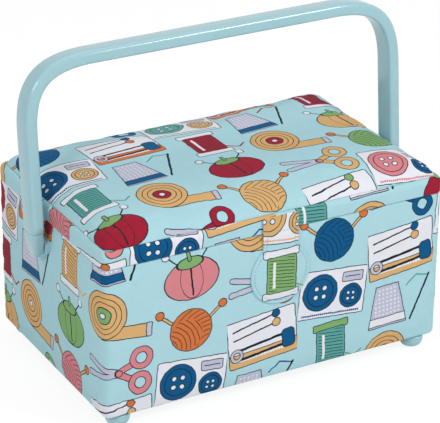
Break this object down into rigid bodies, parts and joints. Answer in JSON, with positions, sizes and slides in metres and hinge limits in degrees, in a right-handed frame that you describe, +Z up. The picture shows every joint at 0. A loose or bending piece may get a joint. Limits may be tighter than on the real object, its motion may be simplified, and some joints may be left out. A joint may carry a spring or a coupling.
{
  "type": "sewing box",
  "caption": "Padded cloth-covered sewing box with a hinged lid, magnetic closing tab, folding bail handle, ball feet and a lift-out tray.",
  "frame": {"origin": "on the floor under the middle of the box", "axes": "+X along the front towards the right, -Y towards the front with the tab, +Z up"},
  "size_m": [0.356, 0.2095, 0.288],
  "materials": {
    "print_cloth": "printed cotton, plain weave",
    "plain_cloth": "plain woven cotton",
    "lining_cloth": "soft plain cotton",
    "pincushion_cloth": "plain cotton, stuffed",
    "elastic": "ribbed elastic",
    "wadding": "fleecy",
    "board": "smooth grey-brown board",
    "ledge_wood": "planed",
    "tray_plastic": "moulded, smooth",
    "aqua_plastic": "moulded, satin",
    "steel": "zinc plated",
    "magnet": "nickel plated"
  },
  "bodies": {
    "box": {"base_board": "board", "front_board": "board", "back_board": "board", "left_board": "board", "right_board": "board", "wall_padding": "wadding", "body_cover": "print_cloth", "base_cover": "plain_cloth", "wall_lining": "lining_cloth", "base_lining": "lining_cloth", "magnet_plate": "steel", "foot_front_left": "aqua_plastic", "foot_front_right": "aqua_plastic", "foot_back_left": "aqua_plastic", "foot_back_right": "aqua_plastic", "foot_screws": "steel", "tray_ledge_left": "ledge_wood", "tray_ledge_right": "ledge_wood", "organiser_tray": "tray_plastic", "hinge_tape_body": "plain_cloth", "pivot_bush_left": "aqua_plastic", "pivot_bush_right": "aqua_plastic"},
    "lid": {"lid_board": "board", "lid_rim_front": "board", "lid_rim_back": "board", "lid_rim_left": "board", "lid_rim_right": "board", "rim_padding": "wadding", "lid_band": "print_cloth", "lid_padding": "wadding", "lid_cover": "print_cloth", "lid_lining": "lining_cloth", "lid_pocket": "lining_cloth", "pocket_elastic": "elastic", "pincushion": "pincushion_cloth", "hinge_tape_lid": "plain_cloth", "tab_anchor": "print_cloth"},
    "tab": {"tab_back": "plain_cloth", "tab_stiffener": "wadding", "tab_magnet": "magnet", "tab_face": "print_cloth"},
    "handle": {"handle_bail": "aqua_plastic", "handle_boot_left": "aqua_plastic", "handle_boot_right": "aqua_plastic", "pivot_stud_left": "steel", "pivot_stud_right": "steel", "stud_clip_left": "steel", "stud_clip_right": "steel"}
  },
  "joints": [
    {"name": "lid_open", "type": "hinge", "parent": "box", "child": "lid", "pos_m": [0, 0.102, 0.1472], "axis": [-1, 0, 0], "range_deg": [0, 100]},
    {"name": "handle_fold", "type": "hinge", "parent": "box", "child": "handle", "pos_m": [0, 0, 0.127], "axis": [-1, 0, 0], "range_deg": [0, 90]},
    {"name": "tab_flap", "type": "hinge", "parent": "lid", "child": "tab", "pos_m": [0, -0.1045, 0.1472], "axis": [-1, 0, 0], "range_deg": [0, 120]}
  ],
  "couplings": [
    {"joint": "handle_fold", "follows": "lid_open", "ratio": 0.9}
  ]
}
